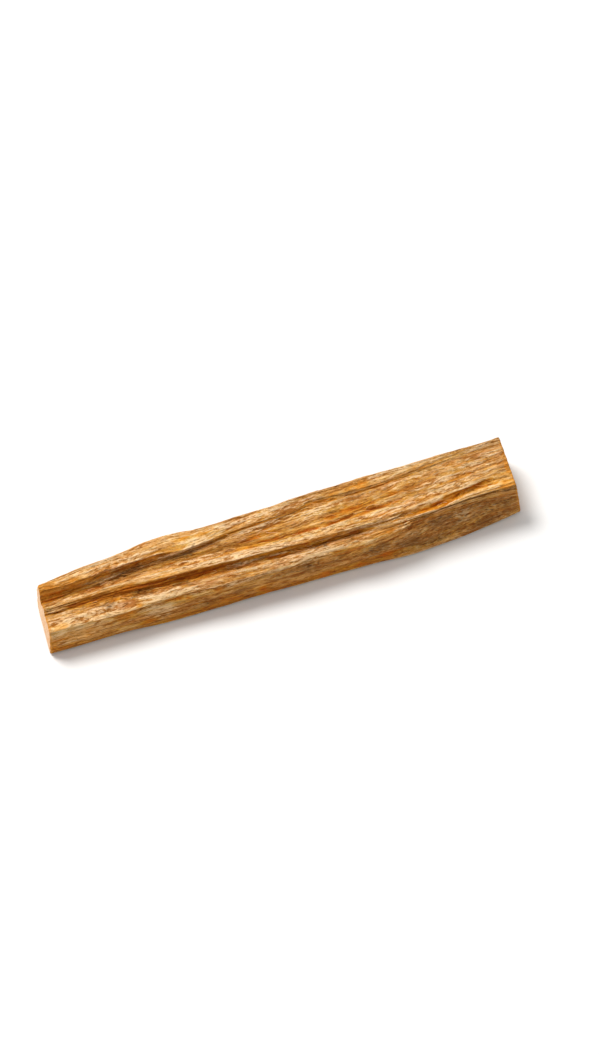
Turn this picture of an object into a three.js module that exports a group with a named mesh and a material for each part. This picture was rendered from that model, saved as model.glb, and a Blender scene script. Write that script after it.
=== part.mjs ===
import * as THREE from "three";

// A short stick of cedarwood, split along the grain and sawn off at both ends. Millimetres, +Z up.
// It lies on its flat underside with the ridged split face up and its length along X.
const stickLength = 98.8; // between the saw cuts, on the centre line
const leftCut = { perY: 0.135, perZ: 0 }; // lean of the left end face, mm along X for each mm
const rightCut = { perY: 0.115, perZ: -0.15 }; // lean of the right end face
const cutPivot = { y: -2.5, z: 4.5 }; // the faces lean about this point of the section
const rimWear = 0.25; // length of the worn bevel round each sawn end
const rimScale = 0.97; // size of the end face against the section beside it
const fibreHeight = 0.28; // height of the fine ribs along the grain
const stationStep = 1.02; // spacing of the sections
const lipEnd = 25.5; // where the front ledge breaks off
const lipStep = 0.3; // spacing of the sections there
const woodColour = 0xd19a55; // pale gold, between the tan fibres and the orange resin

// Grain lines, each from the left end to the right: [along, across, height].
// The section runs from each line to the next and closes on the first.
// steps: facets up to the next line; soft: 0 for a sharp arris, 1 for a smooth bend;
// ribs: how much of the fibre relief the line carries, 0 where the stick rests.
const grainLines = [
  { name: "front foot", steps: 3, soft: 0.4, ribs: 0.6, path: [
    [-49.4, -7.7, 0.4], [-35, -8, 0.4], [-25, -8.8, 0.3], [-10, -9.2, 0.4], [5, -9.6, 0.4],
    [17, -10.1, 0.3], [26, -10.8, 0.4], [33, -10.5, 0.4], [42, -9.8, 0.3], [49.4, -8.7, 0.5]] },
  { name: "front face, low", steps: 3, soft: 1, ribs: 1, path: [
    [-49.4, -7.9, 2.6], [-30, -8.5, 2.7], [-10, -9.3, 2.8], [10, -10, 2.8], [26, -10.5, 3],
    [34, -10, 3.2], [49.4, -9, 3.1]] },
  { name: "front face, high", steps: 3, soft: 1, ribs: 1, path: [
    [-49.4, -7.7, 5.1], [-30, -8.2, 5.2], [-10, -9.2, 5.4], [12, -9.9, 5.5], [24, -9.7, 5.7],
    [28, -9.4, 6], [36, -9, 6.3], [49.4, -8.9, 6.2]] },
  { name: "ledge arris", steps: 3, soft: 0.25, ribs: 0.8, path: [
    [-49.4, -7.3, 7.4], [-45, -7.5, 7.5], [-35, -8, 7.5], [-30, -7.8, 7.6], [-25, -7.9, 7.7],
    [-15, -8.6, 7.9], [-5, -9.2, 8], [10, -9.6, 8.1], [15, -10, 8.1], [20, -9.5, 8.1],
    [25.1, -9.2, 8.2], [25.9, -8.5, 8.4], [30, -8.6, 8.5], [40, -8.3, 8.7], [49.4, -8.8, 8.6]] },
  { name: "ledge", steps: 3, soft: 0.8, ribs: 1, path: [
    [-49.4, -5.3, 7.5], [-40, -5.6, 7.6], [-30, -6.2, 7.7], [-20, -6.9, 7.9], [-10, -7.5, 8],
    [-4, -8.2, 8], [5, -8.5, 8.1], [15, -8.5, 8.2], [25.1, -8.3, 8.4], [25.9, -8.2, 9],
    [30, -8.4, 9.1], [40, -7.8, 9.3], [49.4, -8.6, 9.2]] },
  { name: "groove foot", steps: 2, soft: 0.5, ribs: 0.7, path: [
    [-49.4, -2.6, 7.1], [-40, -3.4, 7.1], [-35, -3.5, 7], [-25, -4.4, 7], [-15, -5.1, 7.2],
    [-10, -5.6, 7.3], [0, -6.1, 7.4], [5, -6.5, 7.3], [15, -6.9, 7.4], [20, -7, 7.7],
    [25.1, -7.5, 8.2], [25.9, -8.1, 9.3], [30, -8.3, 9.4], [35, -7.8, 9.5], [40, -7.2, 9.6],
    [49.4, -8.2, 9.5]] },
  { name: "sliver", steps: 2, soft: 0.2, ribs: 0.6, path: [
    [-49.4, -2.5, 7.4], [-40, -3.1, 7.5], [-35, -3.2, 7.5], [-25, -4.2, 7.7], [-15, -4.8, 7.8],
    [0, -5.8, 8], [15, -6.9, 8.4], [20, -7.2, 8.9], [25.5, -7.9, 9.5], [30, -8.1, 9.6],
    [35, -7.6, 9.7], [40, -6.7, 9.8], [45, -6.8, 9.7], [49.4, -7.4, 9.7]] },
  { name: "slot behind the sliver", steps: 2, soft: 0.4, ribs: 0.5, path: [
    [-49.4, -2.3, 7.6], [-35, -2.8, 8], [-20, -4.1, 8.3], [-10, -5, 8.6], [0, -5.8, 8.8],
    [10, -6.6, 9.1], [20, -6.9, 9.2], [26, -6.6, 8.9], [35, -6.4, 8.9], [40, -5.7, 9.1],
    [45, -5.6, 9.3], [49.4, -6.2, 9.5]] },
  { name: "ridge crest", steps: 4, soft: 0.2, ribs: 0.8, path: [
    [-49.4, -2.2, 7.8], [-40, -2.5, 8.2], [-35, -2.5, 8.4], [-20, -3.9, 8.9], [-10, -4.8, 9.1],
    [0, -5.7, 9.4], [10, -6.5, 9.8], [15, -6.9, 9.9], [20, -6.9, 10], [30, -6.3, 10.2],
    [40, -5.7, 10.3], [45, -5.1, 10], [49.4, -4.7, 9.7]] },
  { name: "behind the ridge", steps: 3, soft: 1, ribs: 1, path: [
    [-49.4, -0.4, 6.9], [-35, -0.2, 7], [-20, -1.1, 7.6], [-10, -1.8, 8.2], [0, -3.2, 8.6],
    [10, -3.6, 9.1], [25, -3.7, 9.5], [35, -3.5, 9.7], [49.4, -2.9, 9.6]] },
  { name: "middle", steps: 2, soft: 1, ribs: 1, path: [
    [-49.4, 0.6, 6.4], [-30, 0.8, 6.8], [-20, 0.1, 7.5], [-10, -0.7, 8.3], [0, -1, 8.8],
    [10, -1.4, 9.4], [20, -1.4, 9.7], [30, -1.1, 10], [49.4, -0.6, 9.7]] },
  { name: "back hollow", steps: 3, soft: 0.7, ribs: 0.8, path: [
    [-49.4, 1.2, 6.5], [-40, 1.1, 6.7], [-30, 1.6, 7], [-15, 1.6, 7.5], [0, 1.5, 8.5],
    [8, 2.1, 8.7], [20, 1.7, 9], [35, 2.5, 9.2], [49.4, 2.8, 9.4]] },
  { name: "back crest", steps: 3, soft: 0.2, ribs: 0.8, path: [
    [-49.4, 1.9, 8.2], [-40, 1.5, 8.4], [-35, 2, 8.6], [-25, 1.9, 8.7], [-19, 0.9, 8.8],
    [-15, 1.2, 8.8], [-10, 1.7, 8.9], [4, 1.8, 9.2], [8, 2.6, 9.4], [20, 2, 9.6],
    [35, 2.7, 9.7], [49.4, 3.2, 9.6]] },
  { name: "back strip", steps: 2, soft: 1, ribs: 0.7, path: [
    [-49.4, 2.9, 8.2], [-30, 3.7, 8.8], [-20, 3.3, 9.1], [-10, 3.2, 9.1], [10, 3.7, 9.4],
    [30, 3.3, 9.8], [49.4, 3.6, 9.6]] },
  { name: "back arris", steps: 3, soft: 0.5, ribs: 0.6, path: [
    [-49.4, 3.7, 7.8], [-45, 4.3, 8], [-35, 4.8, 8.3], [-25, 5.6, 8.6], [-20, 5.4, 8.8],
    [-15, 4.7, 8.8], [10, 4.6, 9.1], [25, 4.3, 9.3], [49.4, 4, 9.3]] },
  { name: "back face, high", steps: 3, soft: 1, ribs: 1, path: [
    [-49.4, 4.4, 5.6], [-26, 6, 6], [-6, 5.3, 6.4], [15, 5.4, 6.5], [35, 4.9, 6.6], [49.4, 4.6, 6.4]] },
  { name: "back face, low", steps: 2, soft: 1, ribs: 1, path: [
    [-49.4, 4.3, 2.7], [-25, 5.8, 2.6], [-5, 5.5, 2.9], [20, 5, 2.7], [49.4, 4.6, 2.9]] },
  { name: "back foot", steps: 2, soft: 0.4, ribs: 0.5, path: [
    [-49.4, 3.6, 0.6], [-25, 5.1, 0.4], [0, 4.8, 0.5], [25, 4.4, 0.4], [49.4, 4, 0.6]] },
  { name: "underside, back", steps: 4, soft: 0, ribs: 0, path: [
    [-49.4, 2.4, 0.2], [-43, 2.9, 0], [0, 3.3, 0], [43, 2.9, 0], [49.4, 2.6, 0.2]] },
  { name: "underside, front", steps: 2, soft: 0, ribs: 0, path: [
    [-49.4, -6, 0.2], [-43, -6.4, 0], [0, -7.6, 0], [43, -7.6, 0], [49.4, -7, 0.2]] },
];

// Value at x of the smooth curve through the knots, with no overshoot between them.
function alongLine(path, axis, x) {
  let k = 0;
  while (k < path.length - 2 && x > path[k + 1][0]) {
    k += 1;
  }
  const slope = (i) => (path[i + 1][axis] - path[i][axis]) / (path[i + 1][0] - path[i][0]);
  const bend = (i) => {
    if (i === 0 || i === path.length - 1) {
      return slope(Math.min(i, path.length - 2));
    }
    const before = slope(i - 1);
    const after = slope(i);
    return before * after > 0 ? (2 * before * after) / (before + after) : 0;
  };
  const span = path[k + 1][0] - path[k][0];
  const t = (x - path[k][0]) / span;
  const rise = path[k + 1][axis] - path[k][axis];
  const start = bend(k) * span;
  const end = bend(k + 1) * span;
  const curve = (start + end - 2 * rise) * t ** 3 + (3 * rise - 2 * start - end) * t ** 2;
  return path[k][axis] + start * t + curve;
}

// Fine ribs along the grain, between -1 and 1: q counts facets across the grain.
function ribs(x, q) {
  const broad = Math.sin(1.3 * q + 0.9 * Math.sin(x / 8.5) + x / 31);
  const fine = Math.sin(2.5 * q - x / 13 + 1.2 * Math.sin(x / 6 + 0.7 * q));
  const patches = Math.sin(0.41 * x + 2.2 * Math.sin(0.8 * q));
  return 0.4 * broad + 0.4 * fine + 0.2 * patches;
}

// The closed section at x, with no relief: each point's place, its count across the grain and its share of ribs.
function sectionAt(x) {
  const count = grainLines.length;
  const corners = grainLines.map(
    (line) => new THREE.Vector2(alongLine(line.path, 1, x), alongLine(line.path, 2, x)),
  );
  const chords = corners.map((corner, i) => corners[(i + 1) % count].clone().sub(corner));
  const ways = chords.map((chord) => chord.clone().normalize());
  const bends = ways.map((way, i) => ways[(i + count - 1) % count].clone().add(way).normalize());
  const points = [];
  let across = 0;
  grainLines.forEach((line, i) => {
    const next = grainLines[(i + 1) % count];
    const reach = chords[i].length();
    const start = ways[i].clone().lerp(bends[i], line.soft).multiplyScalar(reach);
    const end = ways[i].clone().lerp(bends[(i + 1) % count], next.soft).multiplyScalar(reach);
    for (let step = 0; step < line.steps; step += 1) {
      const t = step / line.steps;
      const place = corners[i]
        .clone()
        .addScaledVector(start, t - 2 * t ** 2 + t ** 3)
        .addScaledVector(chords[i], 3 * t ** 2 - 2 * t ** 3)
        .addScaledVector(end, t ** 3 - t ** 2);
      points.push({
        place,
        across: across + t * line.steps,
        ribs: line.ribs + (next.ribs - line.ribs) * t,
      });
    }
    across += line.steps;
  });
  return points;
}

// The section lifted by the ribs, scaled about the pivot, and leaned like the nearer saw cut.
function ringAt(x, scale) {
  const points = sectionAt(x);
  const share = x / stickLength + 0.5;
  const perY = leftCut.perY + (rightCut.perY - leftCut.perY) * share;
  const perZ = leftCut.perZ + (rightCut.perZ - leftCut.perZ) * share;
  return points.map((point, i) => {
    const before = points[(i + points.length - 1) % points.length].place;
    const after = points[(i + 1) % points.length].place;
    const way = after.clone().sub(before).normalize();
    const lift = fibreHeight * point.ribs * ribs(x, point.across);
    const y = (point.place.x - way.y * lift - cutPivot.y) * scale;
    const z = (point.place.y + way.x * lift - cutPivot.z) * scale;
    return new THREE.Vector3(x + perY * y + perZ * z, y + cutPivot.y, z + cutPivot.z);
  });
}

function stations() {
  const half = stickLength / 2;
  const places = [];
  for (let x = -half + rimWear; x < half - rimWear - stationStep / 2; ) {
    places.push(x);
    x += Math.abs(x + lipStep - lipEnd) < 0.9 ? lipStep : stationStep;
  }
  return [-half, ...places, half - rimWear, half];
}

function stickGeometry() {
  const places = stations();
  const last = places.length - 1;
  const rings = places.map((x, i) => ringAt(x, i === 0 || i === last ? rimScale : 1));
  const around = rings[0].length;
  const faces = [];
  for (let i = 0; i < last; i += 1) {
    for (let j = 0; j < around; j += 1) {
      const near = i * around;
      const far = near + around;
      const next = (j + 1) % around;
      faces.push(near + j, far + j, near + next);
      faces.push(near + next, far + j, far + next);
    }
  }
  for (const i of [0, last]) {
    const outline = rings[i].map((point) => new THREE.Vector2(point.y, point.z));
    for (const [a, b, c] of THREE.ShapeUtils.triangulateShape(outline, [])) {
      const turn = new THREE.Vector2().subVectors(outline[b], outline[a]);
      const facesRight = turn.cross(new THREE.Vector2().subVectors(outline[c], outline[a])) > 0;
      const base = i * around;
      const inOrder = facesRight === (i === last);
      faces.push(base + a, base + (inOrder ? b : c), base + (inOrder ? c : b));
    }
  }
  const geometry = new THREE.BufferGeometry().setFromPoints(rings.flat());
  geometry.setIndex(faces);
  geometry.computeBoundingBox();
  const centre = geometry.boundingBox.getCenter(new THREE.Vector3());
  geometry.translate(-centre.x, -centre.y, -geometry.boundingBox.min.z);
  geometry.computeVertexNormals();
  return geometry;
}

const wood = new THREE.MeshStandardMaterial({ color: woodColour, roughness: 0.75, metalness: 0 });
const stick = new THREE.Mesh(stickGeometry(), wood);
stick.name = "cedarwood_stick";

const part = new THREE.Group();
part.name = "split_cedarwood_stick";
part.add(stick);

export default part;
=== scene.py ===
import math

import bpy
import numpy as np
from mathutils import Matrix, Vector
from mathutils.geometry import delaunay_2d_cdt


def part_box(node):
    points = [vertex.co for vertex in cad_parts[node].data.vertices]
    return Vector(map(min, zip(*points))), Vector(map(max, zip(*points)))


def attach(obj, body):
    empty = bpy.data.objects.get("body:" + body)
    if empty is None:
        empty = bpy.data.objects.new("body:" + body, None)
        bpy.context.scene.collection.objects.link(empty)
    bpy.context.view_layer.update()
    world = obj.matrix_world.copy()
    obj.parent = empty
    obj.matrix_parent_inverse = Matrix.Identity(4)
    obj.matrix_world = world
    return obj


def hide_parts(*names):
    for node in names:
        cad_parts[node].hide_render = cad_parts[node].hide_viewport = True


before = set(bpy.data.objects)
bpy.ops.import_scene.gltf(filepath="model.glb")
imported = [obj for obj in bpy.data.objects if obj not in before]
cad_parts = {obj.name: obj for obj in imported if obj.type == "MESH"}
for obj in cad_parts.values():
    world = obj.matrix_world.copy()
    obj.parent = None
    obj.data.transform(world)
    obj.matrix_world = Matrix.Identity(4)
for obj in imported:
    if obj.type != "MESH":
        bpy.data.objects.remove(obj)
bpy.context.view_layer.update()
mm = 0.001
print("frame loaded")

# Camera

photoView = {
    "elevation": 55,  # degrees above the floor
    "turn": 20.8,  # degrees from square-on, towards the stick's left end
    "distance": 675,  # mm from the stick's middle
    "lens": 116,  # mm
    "longSide": 36,  # of the sensor, mm
    "clip": (0.05, 20),  # the nearest and farthest that it sees, m
    "size": (600, 1055),  # the photo frame
    "middle": (280.5, 547),  # where the stick's middle is in that frame
    "aim": (-0.3, -0.1, 4.5),  # the stick's middle, mm
}


def newObject(name, data):
    thing = bpy.data.objects.new(name, data)
    bpy.context.collection.objects.link(thing)
    return thing


def addCamera():
    rise = math.radians(photoView["elevation"])
    turn = math.radians(photoView["turn"])
    back = Vector((-math.sin(turn) * math.cos(rise), -math.cos(turn) * math.cos(rise), math.sin(rise)))
    right = Vector((math.cos(turn), -math.sin(turn), 0))
    up = back.cross(right)
    width, height = photoView["size"]
    focus = height * photoView["lens"] / photoView["longSide"]  # pixels
    across = (photoView["middle"][0] - width / 2) / focus
    down = (photoView["middle"][1] - height / 2) / focus
    ray = right * across - up * down - back
    data = bpy.data.cameras.new("photoCamera")
    data.lens = photoView["lens"]
    data.sensor_width = photoView["longSide"]
    data.clip_start, data.clip_end = photoView["clip"]
    camera = newObject("photoCamera", data)
    place = Vector(photoView["aim"]) - ray * photoView["distance"]
    axes = Matrix((right, up, back)).transposed()
    camera.matrix_world = Matrix.Translation(place * mm) @ axes.to_4x4()
    bpy.context.scene.camera = camera


addCamera()
print("camera placed")


# Node trees: a wire is a socket's value, and arithmetic on wires adds Math nodes


class Wire:
    def __init__(self, board, socket):
        self.board = board
        self.socket = socket

    def __add__(self, other):
        return self.board.maths("ADD", self, other)

    def __radd__(self, other):
        return self.board.maths("ADD", other, self)

    def __sub__(self, other):
        return self.board.maths("SUBTRACT", self, other)

    def __rsub__(self, other):
        return self.board.maths("SUBTRACT", other, self)

    def __mul__(self, other):
        return self.board.maths("MULTIPLY", self, other)

    def __truediv__(self, other):
        return self.board.maths("DIVIDE", self, other)

    def __rtruediv__(self, other):
        return self.board.maths("DIVIDE", other, self)

    def __rpow__(self, other):
        return self.board.maths("POWER", other, self)

    def __abs__(self):
        return self.board.maths("ABSOLUTE", self)


class Board:
    def __init__(self, tree):
        self.tree = tree
        tree.nodes.clear()

    def add(self, kind, settings=None, sockets=None, out=0):
        node = self.tree.nodes.new(kind)
        for name, value in (settings or {}).items():
            setattr(node, name, value)
        for name, value in (sockets or {}).items():
            if isinstance(value, Wire):
                self.tree.links.new(value.socket, node.inputs[name])
            else:
                node.inputs[name].default_value = value
        return Wire(self, node.outputs[out]) if len(node.outputs) else node

    def maths(self, operation, *values, clamp=False):
        settings = {"operation": operation, "use_clamp": clamp}
        return self.add("ShaderNodeMath", settings, dict(enumerate(values)))

    def clamped(self, value):
        return self.maths("ADD", value, 0, clamp=True)

    def rise(self, value, low, high):  # smoothly from 0 at low to 1 at high
        settings = {"interpolation_type": "SMOOTHSTEP"}
        return self.add("ShaderNodeMapRange", settings, {"Value": value, "From Min": low, "From Max": high})

    def mix(self, share, first, second, blend="MIX"):  # colours
        settings = {"data_type": "RGBA", "blend_type": blend}
        return self.add("ShaderNodeMix", settings, {0: share, 6: first, 7: second}, out=2)

    def vector(self, *parts):
        return self.add("ShaderNodeCombineXYZ", None, dict(enumerate(parts)))

    def part(self, place, axis):  # one of a vector's three values
        return self.add("ShaderNodeSeparateXYZ", None, {0: place}, out=axis)

    def scaled(self, place, scale, shift):
        return self.add("ShaderNodeVectorMath", {"operation": "MULTIPLY_ADD"}, {0: place, 1: scale, 2: shift})

    def stretched(self, place, along, across, seed):  # a pattern this long and this wide, in mm
        return self.scaled(place, (1 / along, 1 / across, 1 / across), (seed * 7.3, seed * 3.1, seed))

    def noise(self, place, detail=2.0, roughness=0.5):
        sockets = {"Vector": place, "Scale": 1.0, "Detail": detail, "Roughness": roughness}
        return self.add("ShaderNodeTexNoise", {"noise_dimensions": "3D"}, sockets)

    def strayed(self, grain, amount):  # fibres and colours wander sideways alike
        sway = (self.noise(self.stretched(grain, 7, 2.2, 9)) - 0.5) * amount
        return self.add("ShaderNodeVectorMath", None, {0: grain, 1: self.vector(0, sway)})

    def painted(self, name, out=2):  # an attribute of the mesh, for a material
        return self.add("ShaderNodeAttribute", {"attribute_name": name}, out=out)

    def stored(self, name, kind="FLOAT"):  # the same, for a geometry tree
        return self.add("GeometryNodeInputNamedAttribute", {"data_type": kind}, {"Name": name})

    def store(self, shape, name, value, kind="FLOAT", domain="POINT"):
        settings = {"data_type": kind, "domain": domain}
        sockets = {"Geometry": shape, "Name": name, "Value": value}
        return self.add("GeometryNodeStoreNamedAttribute", settings, sockets)


def tint(text):  # a colour as it looks on screen, in the linear values that shaders use
    parts = [int(text[k : k + 2], 16) / 255 for k in (0, 2, 4)]
    return (*[c / 12.92 if c < 0.04045 else ((c + 0.055) / 1.055) ** 2.4 for c in parts], 1)


# The stick's form, in mm, from the same grain lines as its solid

stick = {
    "length": 98.8,  # between the saw cuts
    "leftCut": (0.105, 0.05),  # lean of the end face: mm along for each mm across and up
    "rightCut": (0.115, -0.15),
    "cutPivot": (-2.5, 4.5),
    "rimWear": 0.25,  # length of the worn bevel round each sawn end
    "rimEdge": 0.08,  # the steeper part of it
    "rimScale": (0.97, 0.99),  # of the section at its two outermost rings
    "ribHeight": 0.28,  # broad ribs, as on the solid
    "alongStep": 0.38,  # from one ring of points to the next
    "lipEnd": 25.5,  # where the front ledge breaks off
    "lipReach": 2.5,  # how far to each side its fibres end unevenly
    "splitShare": 0.7,  # of the heights that the splits give
    "splitFade": 0.3,  # share of a split's length over which each end fades
    "dropWidth": 0.13,  # half the width of a drop's step
    "bandFade": 1.5,  # length past its ends over which a dark band fades
}

# across: mm round the section from the front foot; points: up to the next line; facets: the solid's;
# soft: 0 for a sharp arris; ribs: share of the broad ribs; rough: share of the fine relief;
# path: [along, y, z]
lineFields = ("name", "across", "points", "facets", "soft", "ribs", "rough", "path")
grainLines = [dict(zip(lineFields, row)) for row in (
    ("front foot", 0, 25, 3, 0.4, 0.6, 0.25, [
        [-49.4, -7.7, 0.4], [-35, -8, 0.4], [-25, -8.8, 0.3], [-10, -9.2, 0.4], [5, -9.6, 0.4],
        [17, -10.1, 0.3], [26, -10.8, 0.4], [33, -10.5, 0.4], [42, -9.8, 0.3], [49.4, -8.7, 0.5]]),
    ("front face, low", 2.5, 26, 3, 1, 1, 0.6, [
        [-49.4, -7.9, 2.6], [-30, -8.5, 2.7], [-10, -9.3, 2.8], [10, -10, 2.8], [26, -10.5, 3],
        [34, -10, 3.2], [49.4, -9, 3.1]]),
    ("front face, high", 5.1, 26, 3, 1, 1, 0.6, [
        [-49.4, -7.7, 5.1], [-30, -8.2, 5.2], [-10, -9.2, 5.4], [12, -9.9, 5.5], [24, -9.7, 5.7],
        [28, -9.4, 6], [36, -9, 6.3], [49.4, -8.9, 6.2]]),
    ("ledge arris", 7.7, 16, 3, 0.25, 0.8, 0.8, [
        [-49.4, -7.4, 7.3], [-45, -7.6, 7.4], [-35, -8.1, 7.3], [-30, -8, 7.3], [-25, -8.1, 7.4],
        [-15, -8.8, 7.7], [-5, -9.3, 7.9], [10, -9.6, 8.1], [15, -10, 8.35], [20, -9.8, 8.6],
        [25, -9.5, 8.75], [27, -8.7, 8.75], [30, -8.6, 8.8], [40, -8.5, 8.95], [49.4, -8.9, 8.6]]),
    ("ledge", 9, 25, 3, 0.8, 1, 1, [
        [-49.4, -5.3, 7.5], [-40, -5.6, 7.6], [-30, -6.2, 7.7], [-20, -6.9, 7.9], [-10, -7.5, 8],
        [-4, -8.2, 8], [5, -8.5, 8.2], [15, -8.8, 8.6], [20, -8.8, 8.95], [25.1, -8.8, 9.05],
        [26.2, -8.5, 9], [30, -8.5, 9.05], [40, -8.25, 9.3], [49.4, -8.6, 9.1]]),
    ("groove foot", 10.9, 8, 2, 0.5, 0.7, 1, [
        [-49.4, -3.1, 7.15], [-40, -3.6, 7.1], [-35, -3.6, 7], [-25, -4.6, 6.9], [-15, -5.3, 7.1],
        [-10, -5.7, 7.3], [0, -6.2, 7.6], [5, -6.5, 7.7], [10, -6.8, 7.9], [15, -7.1, 8.2], [20, -7.8, 9.1],
        [25.1, -8.1, 9.2], [26.2, -8.3, 9.2], [30, -8.4, 9.25], [35, -8.1, 9.4], [40, -7.9, 9.5],
        [49.4, -8.2, 9.5]]),
    ("sliver", 11.5, 9, 2, 0.2, 0.6, 0.9, [
        [-49.4, -2.9, 7.4], [-40, -3.2, 7.5], [-35, -3.2, 7.5], [-25, -4.2, 7.7], [-15, -4.8, 7.8],
        [0, -5.9, 8.1], [10, -6.7, 8.4], [15, -7, 8.8], [20, -7.6, 9.25], [25.5, -8, 9.4], [30, -8.25, 9.4],
        [35, -7.95, 9.55], [40, -7.5, 9.75], [45, -7.45, 9.7], [49.4, -7.6, 9.7]]),
    ("slot behind the sliver", 12.2, 10, 2, 0.4, 0.5, 0.9, [
        [-49.4, -2.65, 7.6], [-35, -3, 7.8], [-20, -4.3, 8.2], [-10, -5.1, 8.5], [0, -5.8, 8.8],
        [10, -6.6, 9.1], [20, -7, 9.4], [26, -7.1, 9.15], [30, -7.15, 9], [34, -6.9, 9.05], [40, -5.7, 9.4],
        [45, -5.6, 9.45], [49.4, -6.2, 9.55]]),
    ("ridge crest", 13, 28, 4, 0.45, 0.8, 0.7, [
        [-49.4, -2.2, 7.8], [-40, -2.6, 8.2], [-35, -2.65, 8.4], [-20, -4.05, 8.8], [-10, -4.9, 9.1],
        [0, -5.7, 9.4], [10, -6.5, 9.8], [15, -6.9, 9.9], [20, -6.9, 10], [30, -6.3, 10.2],
        [40, -5.7, 10.3], [45, -5.1, 10], [49.4, -4.7, 9.7]]),
    ("behind the ridge", 15.3, 26, 3, 1, 1, 1, [
        [-49.4, -0.7, 7.1], [-35, -0.5, 7.15], [-20, -1.1, 7.6], [-10, -1.8, 8.2], [0, -3.2, 8.6],
        [10, -3.6, 9.1], [25, -3.7, 9.5], [35, -3.5, 9.7], [49.4, -2.9, 9.6]]),
    ("middle", 17.4, 27, 2, 1, 1, 1.15, [
        [-49.4, 0.05, 6.3], [-38, 0.15, 6.4], [-30, 0.45, 6.8], [-20, 0.1, 7.5], [-10, -0.7, 8.3],
        [0, -1, 8.8], [10, -1.4, 9.4], [20, -1.4, 9.7], [30, -1.1, 10], [49.4, -0.6, 9.7]]),
    ("back hollow", 19.6, 20, 3, 0.7, 0.8, 1.15, [
        [-49.4, 1.2, 6.5], [-40, 1.1, 6.7], [-30, 1.5, 7], [-15, 1.2, 7.9], [-8, 1.1, 8.5], [0, 1.1, 8.9],
        [8, 1.75, 9.15], [16, 1.25, 9.25], [20, 1.15, 9.35], [35, 1.7, 9.5], [42, 1.7, 9.64],
        [49.4, 1.4, 9.66]]),
    ("back crest", 21.2, 17, 3, 0.2, 0.8, 0.7, [
        [-49.4, 1.9, 8.2], [-40, 1.5, 8.4], [-35, 2, 8.6], [-25, 1.9, 8.7], [-19, 0.9, 8.8],
        [-15, 1.2, 8.8], [-10, 1.7, 8.9], [4, 1.8, 9.2], [8, 2.6, 9.4], [16, 2, 9.55], [20, 1.8, 9.6],
        [35, 2.35, 9.7], [49.4, 2.9, 9.65]]),
    ("back strip", 22.5, 17, 2, 1, 0.7, 0.7, [
        [-49.4, 2.9, 8.2], [-30, 3.7, 8.8], [-20, 3.3, 9.1], [-10, 3.2, 9.1], [10, 3.7, 9.4],
        [30, 3.3, 9.8], [49.4, 3.6, 9.6]]),
    ("back arris", 23.9, 20, 3, 0.5, 0.6, 0.7, [
        [-49.4, 3.7, 7.8], [-45, 4.3, 8], [-35, 4.8, 8.3], [-25, 5.6, 8.6], [-20, 5.4, 8.8],
        [-15, 4.7, 8.8], [10, 4.6, 9.1], [25, 4.3, 9.3], [49.4, 4, 9.3]]),
    ("back face, high", 26.6, 20, 3, 1, 1, 0.8, [
        [-49.4, 4.4, 5.6], [-26, 6, 6], [-6, 5.3, 6.4], [15, 5.4, 6.5], [35, 4.9, 6.6], [49.4, 4.6, 6.4]]),
    ("back face, low", 30.3, 11, 2, 1, 1, 0.8, [
        [-49.4, 4.3, 2.7], [-25, 5.8, 2.6], [-5, 5.5, 2.9], [20, 5, 2.7], [49.4, 4.6, 2.9]]),
    ("back foot", 32.7, 8, 2, 0.4, 0.5, 0.3, [
        [-49.4, 3.6, 0.6], [-25, 5.1, 0.4], [0, 4.8, 0.5], [25, 4.4, 0.4], [49.4, 4, 0.6]]),
    ("underside, back", 34.6, 16, 4, 0, 0, 0, [
        [-49.4, 2.4, 0.2], [-43, 2.9, 0], [0, 3.3, 0], [43, 2.9, 0], [49.4, 2.6, 0.2]]),
    ("underside, front", 44.6, 6, 2, 0, 0, 0, [
        [-49.4, -6, 0.2], [-43, -6.4, 0], [0, -7.6, 0], [43, -7.6, 0], [49.4, -7, 0.2]]),
)]
wholeRound = 46.6  # across, back at the front foot

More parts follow.
